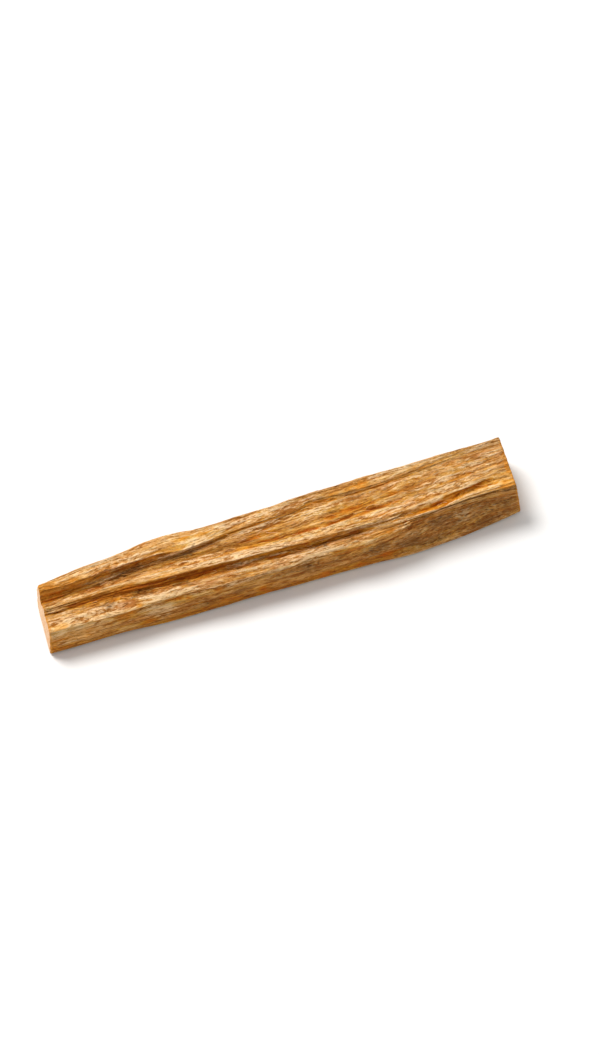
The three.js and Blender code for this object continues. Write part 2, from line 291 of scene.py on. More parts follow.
# Splits that stand out of the plain grain: height and half width in mm, then knots of [along, across].
# A drop is a step that lies lower on the side of the front foot; the others rise or sink evenly.
splits = {
    "drops": [
        (0.22, 0.9, [[-48.8, 21], [-44.5, 21.1], [-39.6, 21.3], [-36.6, 21], [-34, 20.7], [-32.3, 21.1],
            [-28.7, 21], [-23.8, 21.1], [-20.8, 21.5], [-17.8, 21.7]]),
        (0.08, 0.4, [[-26.4, 21.6], [-24.1, 21.7], [-21.4, 21.9]]),
        (0.1, 0.4, [[-22.1, 21.7], [-19.8, 21.9], [-17.8, 21.7]]),
        (0.14, 0.8, [[-21.4, 19], [-19.5, 19.5], [-18.1, 21.3], [-16.8, 21.2], [-14.2, 21.1],
            [-12.2, 21.2], [-9.6, 20.5]]),
        (0.1, 0.9, [[-11.5, 21], [-8.6, 21], [-3.6, 21.2], [2, 20.7], [4.3, 20.5], [5.9, 20.5],
            [6.9, 20.8], [9.6, 21.2], [12.5, 20.8]]),
        (0.14, 0.5, [[-3, 21.9], [0, 21.7], [2.3, 21.4]]),
        (0.12, 0.4, [[2, 21.6], [4, 21.6], [5.9, 21.5]]),
        (0.12, 0.8, [[10.9, 20.5], [14.2, 20.6], [15.8, 19.8], [19.1, 19.6], [21.1, 20.1], [23.4, 20],
            [25.7, 20.6], [29.4, 20.5], [32.7, 20.9]]),
        (0.16, 0.5, [[21.4, 18.5], [23.1, 18.6], [25.7, 18.6], [29.4, 18.5], [34, 18.5]]),
        (0.14, 0.8, [[17.8, 17], [20.5, 17], [22.4, 17.2], [24.7, 17.2], [27.4, 17.3], [30.3, 17.3],
            [34, 17], [38.9, 17]]),
        (0.12, 0.4, [[26.4, 18], [29, 18]]),
        (0.12, 0.4, [[30.3, 15.7], [34, 15.5]]),
        (0.16, 0.5, [[-22.1, 15.9], [-19.8, 16.2], [-17.2, 16.4], [-15.8, 16.3]]),
        (0.14, 0.4, [[-20.5, 16.9], [-17.5, 17.3]]),
        (0.18, 0.6, [[-16.5, 16.5], [-14.5, 17.4], [-12.5, 17.5], [-10.6, 17], [-8.6, 16], [-6.9, 15.7]]),
        (0.22, 0.6, [[-8.9, 16.9], [-7.3, 17], [-5.6, 17]]),
        (0.14, 0.6, [[-4.9, 18.3], [-2.3, 18.6], [-0.3, 18.9], [2, 18.9]]),
        (0.16, 0.6, [[-38.9, 17.9], [-36, 17.5], [-33.3, 16.4], [-31.3, 16.3]]),
        (0.16, 0.5, [[-37.9, 20.5], [-34.6, 20.1], [-30.3, 20]]),
        (0.14, 0.4, [[-30.3, 16.8], [-28.4, 16.7], [-26.1, 16.4]]),
        (0.22, 0.5, [[-48.5, 10.1], [-46.2, 10.1], [-44.2, 10.1], [-42.2, 9.9], [-40.2, 9.9]]),
        (0.12, 0.5, [[-48.8, 10.7], [-46.5, 11], [-44.5, 11.3]]),
        (0.16, 0.4, [[-20.5, 9], [-17.8, 8.9], [-15.2, 8.9], [-12.2, 8.7], [-9.2, 8.6], [-6.6, 8.6],
            [-3, 8.3]]),
        (0.16, 0.5, [[-13.2, 11], [-11.5, 10.9], [-9.2, 10.8], [-6.6, 10.6]]),
        (0.2, 0.5, [[-4.6, 11.2], [-2.3, 11.1], [-0.3, 10.8], [1.6, 11.3], [3.3, 11.8]]),
        (0.14, 0.4, [[17.2, 10.1], [19.1, 10], [21.1, 9.8]]),
        (0.2, 0.5, [[30.7, 12.5], [32.3, 12.5], [34.6, 12.4]]),
        (0.22, 0.4, [[31.3, 11.8], [33, 11.8], [35, 11.9]]),
        (0.2, 0.5, [[21.4, 13.2], [24.4, 13], [27.4, 12.6], [29.7, 12.7]]),
        (0.14, 0.4, [[21.4, 12], [23.8, 11.9], [25.7, 11.9]]),
        (0.2, 0.7, [[34, 13.2], [36.3, 13.1], [38.3, 12.9], [40.6, 12.8], [42.6, 13], [44.5, 13.1]]),
        (0.12, 0.4, [[43.9, 13.6], [46.2, 13.6], [48.5, 13.8]]),
        (0.14, 0.5, [[2.3, 15.5], [4.9, 15.7], [6.9, 15.4], [8.6, 15.3]]),
        (0.18, 0.5, [[8.9, 15.4], [11.9, 15.5], [15.2, 15.7], [17.2, 15.4], [19.5, 15.7], [22.4, 15.7],
            [25.7, 15.7], [28.4, 15.2]]),
        (0.12, 0.5, [[-5.3, 15.5], [-2.3, 15.9], [-0.3, 15.8], [1, 15.4]]),
        (0.12, 0.5, [[24.7, 6.5], [27.4, 6.2], [30.7, 6.3]]),
        (0.12, 0.5, [[27.7, 7.1], [30.3, 7.3], [33, 8.5]]),
        (0.1, 0.5, [[37.6, 7.6], [40.9, 7.3]]),
        (0.1, 0.5, [[-37.6, 2.2], [-34.6, 2.9], [-31.3, 3]]),
        (0.1, 0.6, [[-47.2, 3.2], [-43.5, 3.6], [-38.6, 4]]),
        (0.1, 0.5, [[-25.7, 3.2], [-21.8, 4.4], [-17.8, 3.9]]),
    ],
    "cracks": [
        (-0.25, 0.16, [[-34, 21], [-33, 21.3], [-32.7, 21.6]]),
        (-0.3, 0.2, [[-20.8, 15.4], [-18.5, 15.8], [-16.2, 15.7]]),
        (-0.25, 0.16, [[-5.3, 15.4], [-2.3, 15.7], [0, 15.5], [1, 15.2]]),
        (-0.3, 0.2, [[2.6, 15.3], [4.9, 15.4], [7.3, 15.2], [8.6, 15.1]]),
        (-0.35, 0.22, [[9.2, 15.2], [11.9, 15.3], [15.2, 15.4]]),
        (-0.3, 0.2, [[17.5, 15.3], [19.8, 15.5], [22.8, 15.5]]),
        (-0.4, 0.22, [[-4.3, 10.9], [-2, 10.8], [0, 10.7], [1.6, 11.2]]),
        (-0.4, 0.22, [[-13.2, 10.7], [-11.2, 10.7], [-8.6, 10.6]]),
        (-0.25, 0.14, [[-11.2, 8.5], [-8.6, 8.6], [-6.3, 8.5], [-3, 8.3]]),
        (-0.35, 0.2, [[31, 12.4], [32.7, 12.4], [34.6, 12.3]]),
        (-0.3, 0.16, [[31.7, 11.7], [33.3, 11.6], [35, 11.6]]),
        (-0.25, 0.16, [[22.1, 16.8], [24.4, 16.9], [27, 17]]),
        (-0.2, 0.14, [[39.9, 16.2], [41.6, 15.9], [42.9, 15.4]]),
        (-0.25, 0.14, [[48.5, 17.6], [49.4, 18]]),
        (-0.2, 0.14, [[46.8, 14.2], [48.2, 14.6]]),
    ],
    "ridges": [
        (0.2, 0.2, [[-21.4, 19.2], [-19.8, 21.1], [-18.1, 21.5], [-16.5, 21.6]]),
        (0.16, 0.2, [[-37.9, 18.7], [-35.6, 19.2], [-32.7, 18.6]]),
        (0.14, 0.18, [[-30, 18], [-27, 18.4]]),
        (0.16, 0.2, [[-22.1, 16.4], [-18.5, 16.4]]),
        (0.14, 0.2, [[-18.8, 17.5], [-16.8, 18.4], [-14.8, 18.4], [-12.5, 17.9]]),
        (0.2, 0.25, [[-8.6, 17.3], [-6.6, 17.4]]),
        (0.12, 0.3, [[21.1, 18.9], [24.1, 19], [27.7, 18.7]]),
        (0.16, 0.3, [[18.8, 17.4], [21.4, 17.5], [24.4, 17.6], [27.7, 17.6]]),
        (0.16, 0.22, [[-47.5, 10.6], [-44.5, 10.6], [-42.2, 10.3], [-39.6, 10]]),
        (0.16, 0.22, [[17.5, 10.3], [19.1, 10.8], [20.8, 10.2]]),
        (0.1, 0.2, [[30.3, 12.1], [32.3, 12], [34.6, 12]]),
        (0.12, 0.25, [[-0.3, 17], [0.3, 15.8], [1, 15.5]]),
        (0.1, 0.2, [[-3.3, 16.8], [-2, 17.2], [-0.3, 16.8]]),
        (0.1, 0.2, [[-3, 16], [-1.6, 15.9], [-0.3, 16.2]]),
        (0.12, 0.25, [[-48.2, 9.7], [-45.9, 9.5], [-42.2, 8.9], [-38.9, 8.7]]),
        (0.12, 0.25, [[-34.3, 10.2], [-32.7, 10.1], [-30.7, 9.2]]),
    ],
}


def lineAt(path, axis, along):  # smooth through the knots, with no overshoot between them
    knots = np.array(path, float)
    places, values = knots[:, 0], knots[:, axis]
    slopes = np.diff(values) / np.diff(places)
    before, after = slopes[:-1], slopes[1:]
    both = np.where(before + after == 0, 1, before + after)
    joined = np.where(before * after > 0, 2 * before * after / both, 0)
    bends = np.concatenate([slopes[:1], joined, slopes[-1:]])
    k = np.clip(np.searchsorted(places, along) - 1, 0, len(slopes) - 1)
    span = places[k + 1] - places[k]
    t = (along - places[k]) / span
    rise = values[k + 1] - values[k]
    start, end = bends[k] * span, bends[k + 1] * span
    return values[k] + start * t + (3 * rise - 2 * start - end) * t**2 + (start + end - 2 * rise) * t**3


def unit(vectors):
    return vectors / np.maximum(np.linalg.norm(vectors, axis=-1, keepdims=True), 1e-9)


def sectionAt(i, t, along):  # y and z, a share t of the way from line i to the next
    lines = [grainLines[(i + k) % len(grainLines)] for k in (-1, 0, 1, 2)]
    a, b, c, d = (np.stack([lineAt(line["path"], axis, along) for axis in (1, 2)], -1) for line in lines)
    chord = c - b
    reach = np.linalg.norm(chord, axis=-1, keepdims=True)
    way = unit(chord)
    start = way + (unit(unit(b - a) + way) - way) * lines[1]["soft"]
    end = way + (unit(way + unit(d - c)) - way) * lines[2]["soft"]
    curve = start * (t - 2 * t**2 + t**3) + end * (t**3 - t**2)
    return b + chord * (3 * t**2 - 2 * t**3) + curve * reach


def broadRibs(along, q):  # as on the solid; q counts its facets
    broad = np.sin(1.3 * q + 0.9 * np.sin(along / 8.5) + along / 31)
    fine = np.sin(2.5 * q - along / 13 + 1.2 * np.sin(along / 6 + 0.7 * q))
    patches = np.sin(0.41 * along + 2.2 * np.sin(0.8 * q))
    return 0.4 * broad + 0.4 * fine + 0.2 * patches


def tornEdge(across):  # how far each fibre of the broken lip stands out, mm
    return 0.55 * np.sin(5.1 * across) + 0.45 * np.sin(9.7 * across + 1) + 0.3 * np.sin(17 * across + 2)


def splitRelief(along, across):
    lift = np.zeros(np.broadcast(along, across).shape)
    for kind, rows in splits.items():
        for height, width, path in rows:
            knots = np.array(path, float)
            offset = across - np.interp(along, knots[:, 0], knots[:, 1])
            first, last = knots[0, 0], knots[-1, 0]
            fade = stick["splitFade"] * (last - first)
            ends = np.clip(np.minimum(along - first, last - along) / fade, 0, 1)
            step = np.tanh(offset / stick["dropWidth"]) if kind == "drops" else 1
            lift += stick["splitShare"] * height * ends**0.7 * np.exp(-((offset / width) ** 2)) * step
    return lift


def stickGrid():
    half, edge = stick["length"] / 2, stick["rimEdge"]
    inner = half - stick["rimWear"]
    steps = round(2 * inner / stick["alongStep"])
    between = np.linspace(-inner, inner, steps + 1)
    along = np.concatenate([[-half, -half + edge], between, [half - edge, half]])
    scale = np.ones(len(along))
    scale[[0, -1]], scale[[1, -2]] = stick["rimScale"]
    columns, across, facet, ribs, rough = [], [], [], [], []
    facetsBefore = 0
    for i, line in enumerate(grainLines):
        after = grainLines[(i + 1) % len(grainLines)]
        nextAcross = after["across"] or wholeRound
        for step in range(line["points"]):
            t = step / line["points"]
            place = line["across"] + (nextAcross - line["across"]) * t
            near = np.exp(-(((along - stick["lipEnd"]) / stick["lipReach"]) ** 2))
            columns.append(sectionAt(i, t, along + tornEdge(place) * near))
            across.append(place)
            facet.append(facetsBefore + t * line["facets"])
            ribs.append(line["ribs"] + (after["ribs"] - line["ribs"]) * t)
            rough.append(line["rough"] + (after["rough"] - line["rough"]) * t)
        facetsBefore += line["facets"]
    section = np.stack(columns, 1)
    across, facet, ribs, rough = (np.array(values) for values in (across, facet, ribs, rough))
    lift = stick["ribHeight"] * ribs * broadRibs(along[:, None], facet)
    lift += splitRelief(along[:, None], across)
    way = unit(np.roll(section, -2, 1) - np.roll(section, 2, 1))
    outward = np.stack([-way[..., 1], way[..., 0]], -1)
    pivot = np.array(stick["cutPivot"])
    flat = (section + outward * lift[..., None] - pivot) * scale[:, None, None]
    share = (along / stick["length"] + 0.5)[:, None]
    lean = [a + (b - a) * share for a, b in zip(stick["leftCut"], stick["rightCut"])]
    x = along[:, None] + lean[0] * flat[..., 0] + lean[1] * flat[..., 1]
    points = np.concatenate([x[..., None], flat + pivot], -1)
    outward = np.concatenate([np.zeros_like(x)[..., None], outward], -1)
    grain = np.stack(np.broadcast_arrays(along[:, None], across, 0 * x), -1)
    return {"points": points, "outward": outward, "grain": grain, "rough": np.broadcast_to(rough, x.shape)}


sawCut = {
    "spacing": 0.42,  # of the points on the end faces, mm
    "depth": 0.05,  # of the saw's scratches
    "pitch": 0.8,
    "slope": 0.3,  # of the scratches across the face
}


def insideOutline(outline, spacing):  # points on a staggered grid inside the outline, clear of its edge
    low, high = outline.min(0), outline.max(0)
    rows = np.arange(low[1], high[1], spacing * 0.87)
    found = []
    ends = np.roll(outline, -1, 0)
    for row, z in enumerate(rows):
        for y in np.arange(low[0] + spacing * 0.5 * (row % 2), high[0], spacing):
            crosses = (outline[:, 1] > z) != (ends[:, 1] > z)
            rise = np.where(ends[:, 1] == outline[:, 1], 1, ends[:, 1] - outline[:, 1])
            at = outline[:, 0] + (z - outline[:, 1]) * (ends[:, 0] - outline[:, 0]) / rise
            if (crosses & (at > y)).sum() % 2 and np.hypot(*(outline - (y, z)).T).min() > spacing * 0.8:
                found.append((y, z))
    return np.array(found)


def endFace(ring, side):  # points inside the ring, in its plane but for the saw's scratches, and triangles
    outline = ring[:, 1:]
    inner = insideOutline(outline, sawCut["spacing"])
    count = len(outline)
    edges = [(k, (k + 1) % count) for k in range(count)]
    both = np.concatenate([outline, inner])
    made = delaunay_2d_cdt([Vector(p) for p in both.tolist()], edges, [], 1, 1e-7)
    source = [origins[0] if origins else -1 for origins in made[3]]
    triangles = [[source[k] for k in face] for face in made[2]]
    plane = np.linalg.lstsq(np.c_[outline, np.ones(count)], ring[:, 0], rcond=None)[0]
    rise = inner[:, 1] + sawCut["slope"] * inner[:, 0]
    depth = sawCut["depth"] * (0.5 + 0.5 * np.sin(rise * 6.28 / sawCut["pitch"]))
    x = np.c_[inner, np.ones(len(inner))] @ plane - side * depth
    if side < 0:
        triangles = [face[::-1] for face in triangles]
    return np.c_[x, inner], triangles


# Stains: along, across, half length and half width in mm, then strength. Some smoke marks are painted shade
# beside the groove foot and on the right of the front face, and some pale marks are painted light on faces
# turned from the lamp
stains = {
    "resin": [
        (49.7, 12.5, 0.6, 7, 1.4), (-38, 12.8, 9, 0.5, 1.1), (-21, 12.7, 9, 0.5, 1.1),
        (9, 12.5, 9, 0.7, 1.1), (-8, 20.7, 11, 0.45, 1.2), (6, 20.3, 8, 0.45, 1.1), (22, 19.9, 10, 0.45, 1),
        (30, 20.6, 8, 0.4, 0.8), (12, 16.4, 8, 1, 0.6), (22, 9.4, 3.5, 1.4, 1.2), (-44, 4.8, 9, 3, 0.8),
        (-33.5, 6.5, 3.5, 1.6, 0.8), (-31, 12.2, 13, 0.9, 0.8), (-47.5, 20, 4.8, 3.1, 1.2),
        (-42.2, 20.2, 4.4, 3, 0.9), (-33.3, 21.7, 1, 0.5, 0.8), (-18.8, 22.5, 2.4, 0.3, 0.7),
        (-15.5, 22.4, 2.4, 0.5, 0.8), (-12.5, 22, 1.6, 0.2, 0.7), (-5.6, 23.1, 1, 0.3, 0.7),
        (0.7, 21.5, 1.6, 0.1, 0.7), (12.9, 21.5, 2, 0.6, 1), (19.1, 21.6, 2, 1.1, 1.1),
        (15.8, 21.5, 3.6, 0.8, 0.6), (31.3, 21.7, 4, 1, 0.7), (38.6, 21.9, 5, 0.9, 0.5),
        (-47.2, 12.5, 2.8, 0.8, 0.5), (-37.9, 12.3, 2.8, 0.5, 0.6), (-32, 12.9, 3.2, 0.4, 0.9),
        (14.8, 17, 3, 0.7, 0.9), (11.5, 16.3, 2.6, 0.6, 0.7), (4.9, 15.4, 2.6, 0.4, 0.6),
        (-5.3, 17.3, 1.8, 0.9, 1), (-1.3, 17.3, 1.6, 0.4, 0.8), (-3.6, 15.7, 1.6, 0.3, 0.9),
        (-0.7, 15.8, 0.8, 0.9, 0.7), (-22.4, 16, 0.8, 0.7, 0.6), (30, 14.3, 1.6, 0.6, 0.6),
        (37.6, 15.9, 2.8, 0.5, 0.8), (42.6, 16, 2, 0.3, 0.6), (32.7, 17.6, 1.2, 0.4, 0.8),
        (24.4, 17.4, 4, 0.3, 0.7), (41.6, 13.8, 1.6, 0.6, 0.6), (35, 13.2, 1.2, 0.5, 0.8),
        (26.4, 13, 4.4, 0.4, 0.6), (42.9, 9.6, 3.2, 1, 0.8), (47.5, 11, 1.8, 1.5, 0.9),
        (48.8, 14.8, 0.5, 2.7, 1.1), (-46.8, 7.9, 2.4, 0.6, 1), (-48.8, 3.5, 1.2, 3.1, 1),
        (-33, 7.1, 1.8, 0.7, 0.9), (-30.7, 7.8, 0.8, 0.7, 1), (-35.3, 6.2, 1.6, 1.5, 0.9),
        (-33.6, 5.3, 1, 1.3, 0.8), (-21.1, 9.1, 1, 0.3, 0.7), (-23.1, 7, 2.8, 0.6, 0.8),
        (-20.8, 6.6, 0.8, 0.6, 1.1), (-14.5, 6.7, 1.4, 1.2, 0.8), (-17.2, 7.1, 2, 0.4, 0.6),
        (-12.2, 8.6, 2.8, 0.2, 0.6), (-7.3, 7.6, 2.8, 0.4, 0.5), (10.2, 7.5, 4.8, 0.5, 0.8),
        (13.5, 7.2, 2, 1.2, 1.2), (21, 9, 5, 2.2, 0.9), (22.4, 9.6, 2.8, 1.5, 0.9),
        (23.4, 7.2, 1.8, 0.9, 0.8), (-29, 2.4, 1.4, 0.7, 0.9), (-24.4, 1.9, 1.8, 1, 0.6),
        (-22.4, 1.2, 4, 1.1, 0.5), (-13.2, 2.1, 4, 1.1, 0.9), (-5.6, 2.4, 0.8, 0.6, 1.3),
        (-4.9, 1, 2.8, 0.8, 0.8), (2.6, 1.2, 2.4, 0.8, 0.5), (7.3, 1.2, 1.8, 1.3, 1.1),
        (14.2, 1.5, 2.8, 0.5, 0.5), (20.5, 1.8, 1.4, 1.6, 1.2), (23.1, 0.8, 2.8, 0.7, 0.6),
        (-45.2, 1.4, 4.4, 0.9, 0.7), (-37.3, 1.1, 4, 0.8, 0.5), (28.4, 8.8, 4.8, 0.5, 0.7),
        (0.7, 8.1, 2.4, 0.4, 0.4), (9.6, 13.5, 6, 0.4, 0.6), (15.8, 14.1, 2.8, 0.5, 0.5),
    ],
    "rust": [
        (-33.3, 8.6, 2.2, 0.8, 1.1), (-32, 9.1, 1.2, 0.7, 0.8), (-15.8, 8.6, 1.8, 0.5, 0.8),
        (43.9, 18.5, 3.2, 0.6, 0.7), (3.6, 17.6, 2.8, 0.6, 0.5), (20.8, 12.7, 1.6, 0.6, 0.6),
        (13.9, 9.8, 3.6, 0.8, 0.6), (-13.9, 22.1, 6, 0.3, 0.4), (7.6, 22.4, 4, 0.6, 0.5),
        (24.1, 22.4, 4, 0.6, 0.5), (-41.6, 4.6, 6, 1.2, 0.4), (-33.6, 21.5, 1, 0.5, 0.7),
        (-2, 6, 4, 0.9, 0.4), (33.6, 4.9, 2.4, 1.2, 0.6), (46.8, 7.3, 2.8, 1.5, 0.8),
    ],
    "smokeAndShade": [
        (36, 4.5, 9, 2.8, 0.8), (44, 4.6, 7, 2.6, 0.9), (42, 1.5, 7, 1.5, 0.8), (-30, 9.9, 6, 0.9, 0.9),
        (-32, 18.3, 6, 2.5, 0.7), (-29.4, 19.4, 1.8, 1.1, 0.8), (-37.3, 20.6, 1.6, 0.4, 0.7),
        (-20.5, 17.8, 5.6, 1.6, 0.7), (-13.2, 17.6, 4, 1.7, 0.6), (-36.6, 9.4, 2, 0.9, 1.2),
        (-29, 10.3, 2.8, 1.1, 1.2), (-21.8, 10.2, 4, 0.9, 0.9), (-10.2, 11.1, 5.2, 0.9, 0.7),
        (-4.9, 11.3, 2.8, 0.6, 0.7), (7.9, 10.2, 2.8, 0.7, 0.9), (13.9, 9.9, 4, 1.1, 0.5),
        (11.9, 17.4, 1.8, 0.4, 0.8), (18.1, 18.9, 3, 0.6, 0.7), (24.7, 18.3, 4, 0.3, 0.4),
        (36.9, 17.9, 6, 0.6, 0.4), (29.2, 7.8, 2.4, 1.2, 0.8), (34, 18.9, 4, 0.6, 0.4),
        (-19.8, 3.4, 3.2, 1.2, 0.5), (-16.2, 2.9, 3.2, 1.6, 0.7), (-9.9, 4, 2.8, 1.3, 0.7),
        (-2, 5.7, 4.8, 1.7, 0.6), (4, 5.5, 4, 2, 0.9), (10.2, 5, 2.8, 1.2, 0.6), (18.5, 4.4, 3, 1.2, 1.3),
        (25.4, 3.7, 4, 2, 1.1), (32.3, 5.3, 3.6, 1.5, 1.2), (30.7, 2.2, 6, 1.2, 1),
        (27.4, 6.8, 3.2, 0.8, 0.7), (27.6, 8.4, 1.4, 0.8, 0.9), (40.6, 5.6, 7.9, 2.1, 0.7),
        (45.2, 2.2, 6, 1.4, 0.6), (46.8, 6.3, 2.4, 1.5, 0.5), (36.9, 2.2, 4, 0.9, 0.7),
        (-31.3, 3, 4, 0.5, 0.4), (-38.6, 19.4, 2.8, 0.7, 0.4), (38.3, 8.2, 2, 0.8, 0.6),
    ],
    "pale": [
        (-44, 5.4, 8, 2.4, 1.4), (-38.5, 6, 4.5, 1.2, 1.2), (-8, 7.2, 12, 0.6, 1.3), (8, 7.9, 10, 0.6, 1.3),
        (-44, 9, 6, 0.8, 1.3), (-20.2, 20.1, 2.8, 0.5, 1.3), (-33.5, 20.3, 1.6, 0.4, 1),
        (-34.3, 19.1, 2.4, 0.5, 1.5), (42.2, 17.6, 3, 0.7, 1.3), (25.4, 8, 0.7, 1.1, 1.1),
        (25.3, 6.3, 0.7, 0.8, 0.8), (22.5, 8.6, 2.6, 1.2, 0.7), (-47.8, 12.2, 2.5, 0.7, 0.8),
        (-8.3, 11.4, 3, 0.35, 1.1), (-1, 11.1, 3.5, 0.4, 1.1), (22.5, 12.2, 3, 0.5, 1),
        (23.5, 10.5, 3, 0.5, 1.2), (-14.5, 15.2, 2.5, 0.5, 1), (-5, 19.2, 5, 0.5, 1.4),
        (-10.6, 22.2, 3, 0.5, 1), (25, 14, 6, 0.6, 0.8), (28, 22.6, 12, 0.8, 0.8),
        (35.5, 16.4, 3.5, 0.6, 1.3), (-40, 7.7, 9, 0.7, 1.2), (21, 9.7, 4, 0.9, 1),
        (23.2, 8.8, 1.8, 1, 0.8), (44.5, 21.4, 3.5, 0.6, 1.2), (46, 18.1, 3, 0.7, 0.9),
        (-10.6, 22.5, 4, 0.5, 0.8), (3.5, 22.2, 4.5, 0.6, 1.4), (-22.4, 19.9, 1.8, 0.5, 1.6),
        (32, 13, 3.5, 0.35, 1), (17.2, 12.5, 2.8, 0.45, 1.3), (-20, 6.9, 5, 0.6, 1.1),
        (-28, 6.6, 3, 1.2, 0.8), (-41, 8.4, 10, 1.1, 1.35), (-30, 8.3, 3, 0.4, 0.8),
        (-24.5, 8.3, 5.5, 0.6, 1.2), (-14, 13.9, 9, 1.1, 1.2), (3, 13.6, 12, 0.8, 1.3),
        (2, 14.4, 14, 0.5, 0.9), (15, 14.2, 6, 0.8, 0.8), (-17, 21, 4, 1.3, 1), (-3, 19.4, 5, 0.7, 1.1),
        (9, 18.7, 5, 0.8, 0.9), (24, 11.3, 4.5, 0.8, 1.2), (31, 11.5, 6, 0.5, 1.3), (2, 9.3, 9, 0.8, 0.7),
        (-36, 21.6, 12, 0.6, 0.6), (0, 22.6, 14, 0.9, 0.9), (-43, 14.1, 6, 0.7, 0.9),
        (36, 14.4, 7, 0.9, 0.8), (-42.6, 22, 6.3, 0.4, 0.7), (-38.9, 22.7, 9.9, 0.7, 0.8),
        (-28.4, 21.9, 5.2, 0.4, 0.7), (-15.5, 21.5, 2.8, 0.2, 0.9), (-4.6, 22.3, 5.2, 0.7, 0.7),
        (-17.5, 14.7, 5, 0.8, 0.8), (-27.4, 14.2, 6, 0.6, 0.6), (-7.9, 14.5, 5, 0.7, 0.7),
        (1, 14.1, 4, 0.5, 0.8), (10.2, 14.5, 4.8, 0.5, 1.2), (0, 19.1, 7.9, 0.3, 1),
        (10.9, 18.5, 4.4, 0.4, 0.9), (35.3, 14.6, 6, 0.4, 1.2), (30, 11.4, 6, 0.3, 1.2),
        (-37.6, 8.3, 4.8, 0.4, 1.2), (-25.7, 8.5, 4, 0.5, 1.2), (-19.5, 8.1, 2.8, 0.3, 0.8),
        (7.6, 8.9, 3.4, 0.8, 1.2), (2.3, 9.7, 2.4, 0.4, 0.7), (-26.7, 4.6, 3.4, 2, 1.3),
        (-32.7, 4.5, 1, 1.1, 0.5), (37.4, 5.4, 2.4, 1.1, 1.1), (-9.2, 7.9, 2.8, 0.3, 0.6),
        (-38.3, 14, 5.2, 0.8, 0.7), (-45.2, 10.6, 2.8, 0.3, 0.6), (30.3, 16.2, 4.4, 0.4, 0.6),
        (42.6, 17.2, 3.2, 0.3, 0.7), (44.2, 15.1, 2, 0.3, 0.5), (24.4, 18.7, 2.8, 0.2, 0.8),
        (-6.9, 18.9, 1.8, 0.5, 0.6), (-27.4, 18.3, 2.4, 0.5, 0.5), (-35.6, 19.1, 2.4, 0.2, 0.6),
    ],
}
